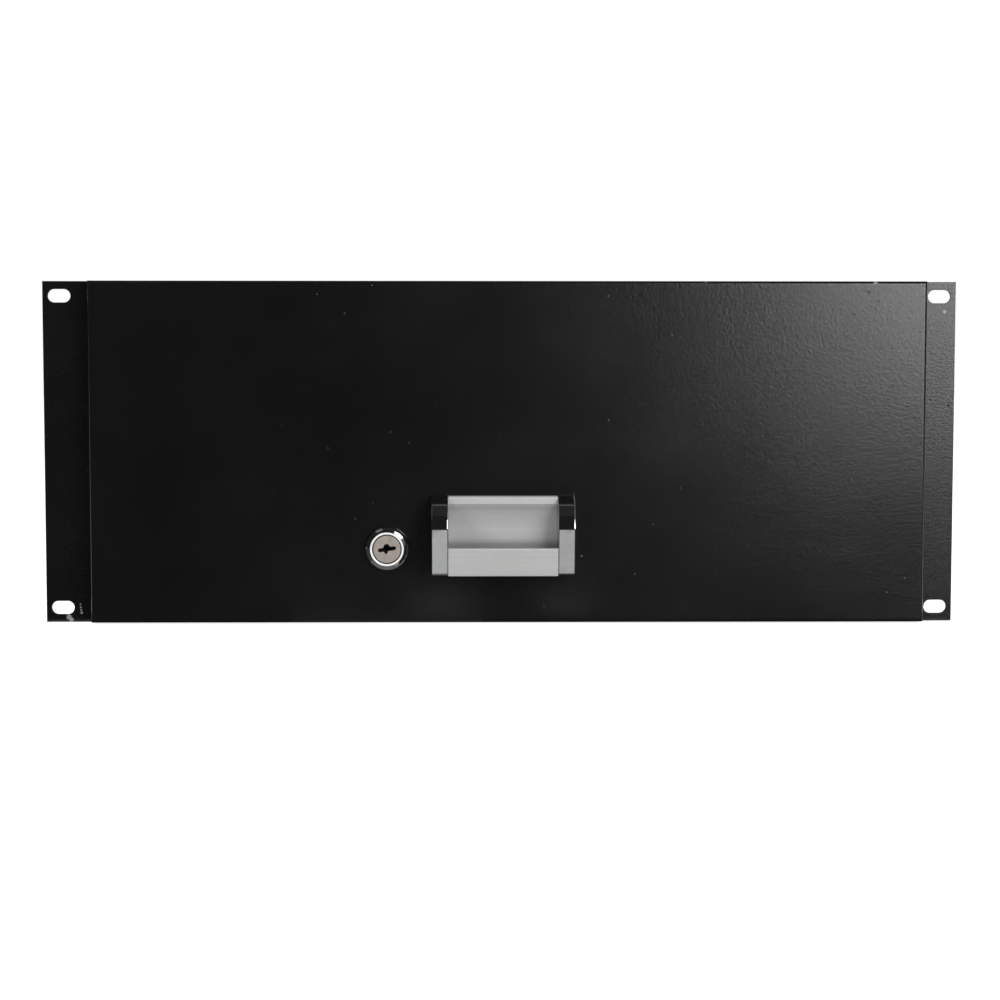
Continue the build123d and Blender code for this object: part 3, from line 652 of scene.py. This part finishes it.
class Piece:
    """A mesh in the part's frame that is filled shape by shape."""

    def __init__(self):
        self.points = []
        self.faces = []

    def add(self, shape, way, place):
        """A shape with its axis towards one side of the part, at a place in mm."""
        points, faces = shape
        across, upward = (Vector(axis) for axis in FACING[way])
        outward = across.cross(upward)
        first = len(self.points)
        for u, v, t in points:
            self.points.append((Vector(place) + u * across + v * upward + t * outward) * MM)
        self.faces += [tuple(first + k for k in face) for face in faces]

    def finish(self, name, node):
        """Makes the mesh, in the finish, on the body and in place of a node."""
        mesh = bpy.data.meshes.new(name)
        mesh.from_pydata(self.points, [], self.faces)
        shape = bmesh.new()
        shape.from_mesh(mesh)
        bmesh.ops.recalc_face_normals(shape, faces=shape.faces)
        for face in shape.faces:
            face.smooth = True
        shape.to_mesh(mesh)
        shape.free()
        mesh.set_sharp_from_angle(angle=SHARP_EDGE)
        mesh.materials.append(materials[slot_of[node]])
        piece = bpy.data.objects.new(name, mesh)
        bpy.context.scene.collection.objects.link(piece)
        even = piece.modifiers.new("even_normals", "WEIGHTED_NORMAL")
        even.keep_sharp = True
        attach(piece, bodies_of[node])
        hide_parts(node)


def solids_of(node):
    """Lowest and highest corner in mm of each separate solid of a node, in a steady order."""
    shape = bmesh.new()
    shape.from_mesh(nodes[node].data)
    bmesh.ops.remove_doubles(shape, verts=shape.verts, dist=0.001 * MM)
    shape.verts.index_update()
    seen, found = set(), []
    for first in shape.verts:
        if first.index in seen:
            continue
        seen.add(first.index)
        group = [first]
        for corner in group:
            for edge in corner.link_edges:
                other = edge.other_vert(corner)
                if other.index not in seen:
                    seen.add(other.index)
                    group.append(other)
        low = Vector([min(corner.co[i] for corner in group) for i in range(3)]) / MM
        high = Vector([max(corner.co[i] for corner in group) for i in range(3)]) / MM
        found.append((low, high))
    shape.free()
    return sorted(found, key=lambda box: tuple(round(c) for c in box[0]))


# Rules of the angle
def hexagon(across):
    """Radius of a hexagon with two corners on its first axis."""
    step = math.radians(60)
    return lambda angle: across / 2 / math.cos(angle % step - step / 2)


def cut(rule, limit):
    """A rule that doesn't pass a limit."""
    return lambda angle: min(rule(angle), limit)


def thread(radius, pitch, depth, height, flats=None):
    """Radius of a screw thread at a height, with two flats if they are given."""
    def rule(angle):
        phase = height / pitch - angle / (2 * math.pi)
        reach = radius - depth * (0.5 - 0.5 * math.cos(2 * math.pi * phase))
        if flats:
            reach = min(reach, flats / 2 / max(abs(math.cos(angle)), 0.01))
        return reach
    return rule


def threaded(radius, pitch, start, end, flats=None):
    """The profile of a thread from one height to another."""
    count = round(abs(end - start) / (pitch / 5))
    heights = [start + (end - start) * i / count for i in range(count + 1)]
    return [(thread(radius, pitch, 0.55 * pitch, height, flats), height) for height in heights]


def cross(length, width):
    """Radius of a cross recess."""
    def rule(angle):
        c, s = max(abs(math.cos(angle)), 0.001), max(abs(math.sin(angle)), 0.001)
        return max(min(length / c, width / s), min(length / s, width / c))
    return rule


def recess(length, width, top, depth):
    """The profile of a cross recess, from its rim down to its floor."""
    return [
        (cross(length, width), top),
        (cross(0.8 * length, 0.8 * width), top - 0.6 * depth),
        (cross(0.45 * length, 0.6 * width), top - depth),
        (0.01, top - depth),
    ]


SMALL_SHANK = 1.45


def pan_screw(shank, head, rise, length, pitch=0.7):
    """A pan head on its seat at height 0, with a cross recess and a thread below."""
    dome = arc((head, 0.35 * rise), (0.86 * head, 0.8 * rise), (0.5 * head, rise), 6)
    profile = [(0.01, -length), (0.75 * shank, -length)] + threaded(shank, pitch, -length + 0.3, -0.3)
    profile += [(shank, 0.0), (head, 0.0)] + dome + recess(0.45 * head, 0.13 * head, rise, 0.5 * rise)
    return lathe(profile, 72)


def sunk_screw(shank, head, depth, length, pitch=0.6):
    """A countersunk head, flush at height 0, with a cross recess and a thread below."""
    profile = [(0.01, -length), (0.75 * shank, -length)]
    profile += threaded(shank, pitch, -length + 0.3, -depth - 0.2)
    profile += [(shank, -depth), (head, -0.2), (head, -0.06), (0.96 * head, -0.01)]
    return lathe(profile + recess(0.55 * head, 0.15 * head, -0.01, 0.7 * depth), 72)


def rivet(shank, head, rise, length):
    """A domed rivet head on its seat at height 0, with a small set mark."""
    dome = arc((head, 0.12 * rise), (0.8 * head, 0.62 * rise), (0.3 * head, rise), 8)
    profile = [(0.01, -length), (shank, -length), (shank, 0.0), (head, 0.0)] + dome
    return lathe(profile + [(0.22 * head, 0.82 * rise), (0.01, 0.8 * rise)], 40)


def washer(inner, outer, thickness):
    """A flat washer with softened rims, from height 0 up."""
    corners = [(inner, 0.0), (outer, 0.0), (outer, thickness), (inner, thickness)]
    return lathe(soften(corners, 0.2 * thickness, closed=True), 56, closed=True)


def hex_nut(inner, across, thickness):
    """A hex nut with chamfered corners, from height 0 up."""
    side = hexagon(across)
    tip = across / 2 * 1.04
    slope = 0.16 * across / 2
    profile = [
        (inner + 0.35, 0.0), (cut(side, tip), 0.0), (side, slope), (side, thickness - slope),
        (cut(side, tip), thickness), (inner + 0.35, thickness), (inner, thickness - 0.35), (inner, 0.35),
    ]
    return lathe(profile, 72, closed=True)


# Handle: how far it stands out, where its front bends, the channel's step behind the caps, the rounded
# toe of the caps, and the heights of the pull plate and the lip
REACH = 18.5
KNEE = 0.16
SEAT_GAP = 0.3
TOE = 1.6
PLATE_HEIGHT = 14.8
LIP_DEPTH = 4.3


def handle_measures():
    """The place on the panel where the handle's side view begins, and half the caps' height, in mm."""
    low, high = box_of("left_handle_cap")
    return high.y, (low.z + high.z) / 2, (high.z - low.z) / 2


def facet(w, half):
    """Reach of the slanting lower front at height w."""
    knee = KNEE * half
    return REACH + (w - knee) * 0.22 * REACH / (knee + half)


def cap_outline(half):
    """Side view of an end cap, forwards to the left."""
    line = [(0, -half), (facet(-half, half) - TOE, -half)]
    line += arc(line[-1], (facet(-half, half) - 0.28 * TOE, 0.28 * TOE - half),
                (facet(TOE - half, half), TOE - half), 6)
    line += arc((REACH, KNEE * half), (0.72 * REACH, 0.68 * half), (0, half), 26)
    return [(-v, w) for v, w in line]


def profile_outline(half, top):
    """Side view of the channel: lip, hollow back and pull plate, forwards to the left."""
    foot = -half - SEAT_GAP
    floor = foot + 2.6
    plate_top = foot + PLATE_HEIGHT
    lip, back, thick, turn = 6.7, 2.2, 1.9, 1.5
    lip_foot = top - LIP_DEPTH
    turn_up = facet(floor, half) - SEAT_GAP - thick
    line = [(0, foot), (0, top)]
    line += arc((lip - turn, top), (lip - 0.29 * turn, top - 0.29 * turn), (lip, top - turn), 6)
    line += soften([(lip, top - turn - 0.2), (lip, lip_foot), (lip - 1.2, lip_foot - 0.4)], 0.35)[1:-1]
    line += arc((lip - 0.6, 0.96 * lip_foot), (back + 0.24 * (lip - back), 0.6 * lip_foot),
                (back, 0.2 * lip_foot), 12)
    line += arc((back, 0.5 * floor), (back + 0.3 * (turn_up - back), 0.86 * floor),
                (0.6 * turn_up, floor), 12)
    outside = facet(plate_top, half) - SEAT_GAP
    inside = outside - thick
    line += soften([(0.7 * turn_up, floor), (turn_up, floor), (inside, plate_top - thick / 2)], 1.2)[1:-1]
    line += arc((inside, plate_top - thick / 2), ((inside + outside) / 2, plate_top),
                (outside, plate_top - thick / 2), 8)
    toe = facet(foot, half) - SEAT_GAP
    line += soften([(outside, plate_top - thick), (toe, foot), (0, foot)], 0.5)[1:-1]
    return [(-v, w) for v, w in line]


def make_handle():
    """The channel and its two polished end caps."""
    y, z, half = handle_measures()
    for node in ("left_handle_cap", "right_handle_cap"):
        low, high = box_of(node)
        cap = Piece()
        cap.add(plate([cap_outline(half)], 0, high.x - low.x, 0.55), "right", (low.x, y, z))
        cap.finish(node + "_polished", node)
    low, high = box_of("handle_profile")
    channel = Piece()
    outline = profile_outline(half, high.z - z)
    channel.add(plate([outline], 0, high.x - low.x, 0.12), "right", (low.x, y, z))
    channel.finish("handle_channel", "handle_profile")


def make_handle_fasteners():
    """Washers and pan screws behind the panel."""
    washers, screws = Piece(), Piece()
    for low, high in solids_of("handle_washers"):
        middle = (low + high) / 2
        washers.add(washer(2.2, high.x - middle.x, high.y - low.y), "back", (middle.x, low.y, middle.z))
        seat = high.y
    for low, high in solids_of("handle_screws"):
        middle = (low + high) / 2
        place = (middle.x, seat, middle.z)
        screws.add(pan_screw(2.0, high.x - middle.x, high.y - seat, seat - low.y), "back", place)
    washers.finish("handle_flat_washers", "handle_washers")
    screws.finish("handle_pan_screws", "handle_screws")


# Lock
BORE = 6.6
HEAD_BORE = 7.75
BARREL = 9.4
BARREL_FLATS = 16.0
PLUG_HEAD = 7.2
PLUG_SHANK = 6.4
KEY_REACH = 3.8
KEY_LEAN = math.radians(8.9)
WASHER_TEETH = 18


def lock_centre():
    """The lock's axis at the front of the panel, in mm."""
    low, high = box_of("lock_housing")
    return Vector(((low.x + high.x) / 2, box_of("left_handle_cap")[1].y, (low.z + high.z) / 2))


def make_lock_housing():
    """Domed bezel, rounded front ring, bore, and a threaded barrel with two flats."""
    low, high = box_of("lock_housing")
    centre = lock_centre()
    front, rear = centre.y - low.y, centre.y - high.y
    bore = [(BORE, rear), (BORE, 1.95), (HEAD_BORE, 1.95), (HEAD_BORE, front - 0.5)]
    ring = arc(bore[-1], (8.3, front), (9.0, front - 0.75), 10)[1:]
    dome = [(9.02, 3.35)] + arc((9.3, 3.2), (11.0, 2.25), (11.8, 0.7), 12) + [(11.8, 0.25), (11.6, 0.0)]
    barrel = threaded(BARREL, 1.0, -0.1, rear + 0.2, flats=BARREL_FLATS)
    housing = Piece()
    housing.add(lathe(bore + ring + dome + barrel, 96, closed=True), "front", centre)
    housing.finish("lock_housing_turned", "lock_housing")


def keyway():
    """The key's slot with a hump above and a ragged notch below, a little turned."""
    right_end = [math.radians(angle) for angle in range(-90, 91, 15)]
    left_end = [math.radians(angle) for angle in range(90, 271, 15)]
    line = [(KEY_REACH + math.cos(t), math.sin(t)) for t in right_end]
    line += arc((1.75, 1.0), (0.0, 2.72), (-1.75, 1.0), 14)
    line += [(-KEY_REACH + math.cos(t), math.sin(t)) for t in left_end]
    line += [(-1.75, -1.0), (-1.5, -1.7), (-1.15, -2.35), (-0.7, -2.55), (-0.2, -2.2), (0.1, -1.6)]
    line += [(0.5, -1.0)]
    c, s = math.cos(KEY_LEAN), math.sin(KEY_LEAN)
    return [(u * c - v * s, u * s + v * c) for u, v in line]


def segment(radius, chord, sign):
    """The part of a circle above or below a chord."""
    edge = math.asin(chord / radius)
    turns = [edge + (math.pi - 2 * edge) * i / 24 for i in range(25)]
    return [(radius * math.cos(t), sign * radius * math.sin(t)) for t in turns]


def make_lock_plug():
    """Head with the keyway, shank with the wafers' slot, and a square tang."""
    low, high = box_of("lock_plug")
    wafer_low, wafer_high = box_of("lock_wafers")
    centre = lock_centre()
    face, rear = centre.y - low.y, centre.y - high.y
    slot_front, slot_rear = centre.y - wafer_low.y + 0.15, centre.y - wafer_high.y - 0.15
    chord = (wafer_high.z - wafer_low.z) / 2 + 0.15
    plug = Piece()
    plug.add(plate([circle(PLUG_HEAD, 72), keyway()], 2.1, face, 0.22), "front", centre)
    plug.add(plate([circle(PLUG_SHANK, 64), keyway()], slot_front, 2.12, 0.01), "front", centre)
    for sign in (-1, 1):
        plug.add(plate([segment(PLUG_SHANK, chord, sign)], slot_rear, slot_front, 0.01), "front", centre)
    plug.add(plate([circle(PLUG_SHANK, 64)], rear + 2.2, slot_rear, 0.01), "front", centre)
    square = soften([(-3.7, -3.7), (3.7, -3.7), (3.7, 3.7), (-3.7, 3.7)], 0.4, closed=True)
    plug.add(plate([square], rear, rear + 2.3, 0.1), "front", centre)
    burr = soften([(0.3, -2.9), (1.7, -2.5), (1.3, -1.9), (0.5, -2.0)], 0.2, closed=True)
    plug.add(plate([burr], face - 0.1, face + 0.04, 0.03), "front", centre)
    plug.finish("lock_plug_with_keyway", "lock_plug")


def teeth(reach):
    """Radius of the washer's toothed rim."""
    def rule(angle):
        return reach - 1.1 * (0.5 - 0.5 * math.cos(WASHER_TEETH * angle)) ** 0.4
    return rule


def twist(base):
    """Height of the washer's teeth, each a little twisted."""
    def rule(angle):
        return base + 0.1 * math.sin(WASHER_TEETH * angle)
    return rule


def make_toothed_washer():
    """The washer under the lock's nut."""
    centre = lock_centre()
    low, high = box_of("lock_washer")
    tooth = teeth((high.x - low.x) / 2)
    thick = high.y - low.y
    ring = Piece()
    outline = [(9.6, 0.1), (10.9, 0.1), (tooth, twist(0.15)), (tooth, twist(thick - 0.15)),
               (10.9, thick - 0.1), (9.6, thick - 0.1)]
    ring.add(lathe(outline, 144, closed=True), "back", (centre.x, low.y, centre.z))
    ring.finish("lock_toothed_washer", "lock_washer")


def make_lock_fasteners():
    """The lock's hex nut, and the cam's washer and screw."""
    centre = lock_centre()
    low, high = box_of("lock_nut")
    nut = Piece()
    nut.add(hex_nut(9.55, high.z - low.z, high.y - low.y), "back", (centre.x, low.y, centre.z))
    nut.finish("lock_hex_nut", "lock_nut")
    low, high = box_of("cam_washer")
    flat = Piece()
    flat.add(washer(1.8, high.x - centre.x, high.y - low.y), "back", (centre.x, low.y, centre.z))
    flat.finish("cam_flat_washer", "cam_washer")
    seat = high.y
    low, high = box_of("cam_screw")
    screw = Piece()
    shape = pan_screw(SMALL_SHANK, (high.x - low.x) / 2, high.y - seat, seat - low.y, 0.6)
    screw.add(shape, "back", (centre.x, seat, centre.z))
    screw.finish("cam_pan_screw", "cam_screw")


# Fasteners of the case and the drawer
def make_studs():
    """Welded studs behind the panel and the nuts on them."""
    studs, nuts = Piece(), Piece()
    for low, high in solids_of("panel_studs"):
        middle = (low + high) / 2
        end = high.y - low.y
        profile = [(0.01, 0.0), (2.6, 0.0), (2.1, 0.5)] + threaded(1.98, 0.7, 0.6, end - 0.4)
        profile += [(1.5, end), (0.01, end)]
        studs.add(lathe(profile, 32), "back", (middle.x, low.y, middle.z))
    for low, high in solids_of("panel_nuts"):
        middle = (low + high) / 2
        across = min(high.x - low.x, high.z - low.z)
        nuts.add(hex_nut(2.0, across, high.y - low.y), "back", (middle.x, low.y, middle.z))
    studs.finish("panel_threaded_studs", "panel_studs")
    nuts.finish("panel_hex_nuts", "panel_nuts")


def make_flange_screws():
    """Countersunk screws of the bottom plate and the cover."""
    for node, way in (("bottom_screws", "down"), ("cover_screws", "up")):
        screws = Piece()
        for low, high in solids_of(node):
            middle = (low + high) / 2
            face = low.z if way == "down" else high.z
            shape = sunk_screw(SMALL_SHANK, high.x - middle.x, 1.5, high.z - low.z)
            screws.add(shape, way, (middle.x, middle.y, face))
        screws.finish(node + "_countersunk", node)


SIDE_HEAD = 1.1
SIDE_NODES = {"rear_panel_screws": True, "slide_outer_rivets": True, "slide_inner_rivets": False}


def make_side_heads():
    """Screws of the rear panel and the slides' rivets, heads outwards or inwards."""
    for node, outward in SIDE_NODES.items():
        heads = Piece()
        for low, high in solids_of(node):
            middle = (low + high) / 2
            way = "right" if (middle.x > 0) == outward else "left"
            seat = high.x - SIDE_HEAD if way == "right" else low.x + SIDE_HEAD
            radius = (high.z - low.z) / 2
            length = high.x - low.x - SIDE_HEAD
            if node == "rear_panel_screws":
                shape = pan_screw(SMALL_SHANK, radius, SIDE_HEAD, length, 0.6)
            else:
                shape = rivet(1.95, radius, SIDE_HEAD, length)
            heads.add(shape, way, (seat, middle.y, middle.z))
        heads.finish(node + "_shaped", node)


def make_balls():
    """Round balls in each cage."""
    for node in ("left_outer_balls", "right_outer_balls", "left_inner_balls", "right_inner_balls"):
        row = Piece()
        for low, high in solids_of(node):
            row.add(ball((high.y - low.y) / 2), "up", (low + high) / 2)
        row.finish(node + "_round", node)


def make_bumpers():
    """Moulded rubber bumpers with a recess for their pin."""
    feet = Piece()
    for low, high in solids_of("rear_bumpers"):
        middle = (low + high) / 2
        depth = high.y - low.y
        radius = (high.x - low.x) / 2
        line = [(0.01, 0.0), (radius, 0.0), (radius, 1.2), (0.75 * radius, depth), (2.6, depth),
                (2.2, depth - 3), (0.01, depth - 3)]
        feet.add(lathe(soften(line, 0.8), 48), "back", (middle.x, low.y, middle.z))
    feet.finish("rear_rubber_bumpers", "rear_bumpers")


# Stage: the floor's glow to the camera near the part, its glow to all else, and the even light
FLOOR_GLOW = 0.8
FLOOR_BOUNCE = 0.6
FLOOR_SHADOW_CENTRE = (0, 200, 0)
FLOOR_SHADOW_REACH = 1500
AMBIENT = 0.12


def light_path_seen(s):
    """1 for camera rays and for what shows in metal and glass, else 0."""
    path = s.add("ShaderNodeLightPath")
    seen = s.math("MAXIMUM", path.outputs["Is Camera Ray"], path.outputs["Is Glossy Ray"])
    return s.math("MAXIMUM", seen, path.outputs["Is Transmission Ray"])


def floor_material():
    """Pale floor that is white to the camera and in reflections, and keeps the shadow."""
    material, s = empty_material("floor")
    matt = s.add("ShaderNodeBsdfDiffuse")
    matt.inputs["Color"].default_value = grey(0.8)
    glow = s.add("ShaderNodeEmission")
    glow.inputs["Color"].default_value = grey(1)
    near = s.spot(FLOOR_SHADOW_CENTRE, FLOOR_SHADOW_REACH, 0.0)
    seen = s.math("MULTIPLY", light_path_seen(s), s.remap(near, 0.0, 1.0, 1.0, FLOOR_GLOW))
    s.join(s.math("MAXIMUM", seen, FLOOR_BOUNCE), glow.inputs["Strength"])
    both = s.add("ShaderNodeAddShader")
    s.join(matt.outputs[0], both.inputs[0])
    s.join(glow.outputs[0], both.inputs[1])
    end_in(s, both.outputs[0])
    return material


def add_world():
    """White background, and a dim even light on everything else."""
    world = bpy.data.worlds.new("studio")
    world.use_nodes = True
    bpy.context.scene.world = world
    s = Shader(world.node_tree)
    back = s.add("ShaderNodeBackground")
    back.inputs["Color"].default_value = grey(1)
    s.join(s.remap(light_path_seen(s), 0.0, 1.0, AMBIENT, 1.0), back.inputs["Strength"])
    end_in(s, back.outputs[0], "ShaderNodeOutputWorld")


def add_plane(name, centre, facing, width, height, material):
    """A flat rectangle that faces a direction."""
    mesh = bpy.data.meshes.new(name)
    corners = [(sx * width / 2, sy * height / 2, 0) for sx, sy in ((-1, -1), (1, -1), (1, 1), (-1, 1))]
    mesh.from_pydata(corners, [], [(0, 1, 2, 3)])
    mesh.materials.append(material)
    piece = bpy.data.objects.new(name, mesh)
    bpy.context.scene.collection.objects.link(piece)
    turn = Vector(facing).to_track_quat("Z", "Y").to_matrix().to_4x4()
    piece.matrix_world = Matrix.Translation(Vector(centre)) @ turn
    return piece


def add_floor():
    """A wide floor at the lowest height of the part."""
    add_plane("floor", (0, 0, cad_low.z - 0.0002), (0, 0, 1), 16, 16, floor_material())


def add_card(name, centre, facing, width, height, shade):
    """A card that shows only in reflections, as cloth or paper does in a studio."""
    material, s = empty_material(name)
    cloth = s.add("ShaderNodeEmission")
    cloth.inputs["Color"].default_value = grey(shade)
    end_in(s, cloth.outputs[0])
    card = add_plane(name, centre, facing, width, height, material)
    card.visible_camera = False
    card.visible_diffuse = False
    card.visible_transmission = False
    card.visible_shadow = False


def add_light(name, place, aim, width, height, power, in_metal=False):
    """A softbox; only some of them show in reflections."""
    data = bpy.data.lights.new(name, "AREA")
    data.shape = "RECTANGLE"
    data.size = width
    data.size_y = height
    data.energy = power
    light = bpy.data.objects.new(name, data)
    bpy.context.scene.collection.objects.link(light)
    turn = (Vector(aim) - Vector(place)).to_track_quat("-Z", "Y").to_matrix().to_4x4()
    light.matrix_world = Matrix.Translation(Vector(place)) @ turn
    light.visible_glossy = in_metal


def add_cards():
    """Dark cloth in front and above, and pale paper low in front for the handle and the lock."""
    ground = cad_low.z
    lock = lock_centre() * MM
    up = (0, 0, 1)
    cards = [
        ("front", (0, -1.9, 1.4), (0, 1, 0), 7.0, 3.0, 0.014),
        ("above", (0, -0.5, 2.7), (0, 0, -1), 7.0, 3.4, 0.025),
        ("left", (-2.2, -0.5, 1.3), (1, 0, 0), 3.4, 2.8, 0.02),
        ("right", (2.2, -0.5, 1.3), (-1, 0, 0), 3.4, 2.8, 0.02),
        ("floor_far", (0, -1.1, ground), up, 7.0, 1.6, 0.01),
        ("floor_near", (0, -0.23, ground + 0.0001), up, 2.4, 0.45, 0.05),
        ("floor_left_cap", (-0.033, -0.105, ground + 0.0002), up, 0.026, 0.112, 0.52),
        ("floor_right_cap", (0.037, -0.105, ground + 0.0002), up, 0.026, 0.112, 0.5),
        ("floor_lock", (lock.x, -0.036, ground + 0.0002), up, 0.1, 0.05, 0.16),
        ("over_case", (0, -0.0004, cad_high.z + 0.6), (0, 1, 0), 1.2, 1.199, 0.12),
        ("lock_flag", lock + Vector((0.021, -0.045, -0.0085)), (-1, 0, 0), 0.066, 0.045, 0.01),
        ("lock_right", lock + Vector((0.9, -0.1, 0.77)), (-0.76, 0, -0.65), 2.0, 0.18, 0.8),
        ("lock_left", lock + Vector((-0.56, -0.1, 1.05)), (0.47, 0, -0.88), 2.0, 0.42, 0.2),
    ]
    for name, *rest in cards:
        add_card("card_" + name, *rest)


def add_stage():
    """Background, floor, cards and the four softboxes."""
    add_world()
    add_floor()
    add_cards()
    add_light("key", (0.9, -1.15, 0.55), (0.9, 0, 0.55), 1.0, 1.04, 30, in_metal=True)
    add_light("right", (1.3, -0.25, 0.95), (0, 0, 0), 0.35, 0.5, 6)
    add_light("top", (-0.2, -1.15, 1.35), (0, 0, 0), 1.2, 0.6, 14)
    add_light("left", (-1.1, -0.8, 0.6), (0, 0, 0), 0.5, 0.5, 15)


materials = make_materials()
add_camera()
bpy.context.scene.view_settings.view_transform = "Standard"
dress_nodes()
make_handle()
make_handle_fasteners()
make_lock_housing()
make_lock_plug()
make_toothed_washer()
make_lock_fasteners()
make_studs()
make_flange_screws()
make_side_heads()
make_balls()
make_bumpers()
add_stage()
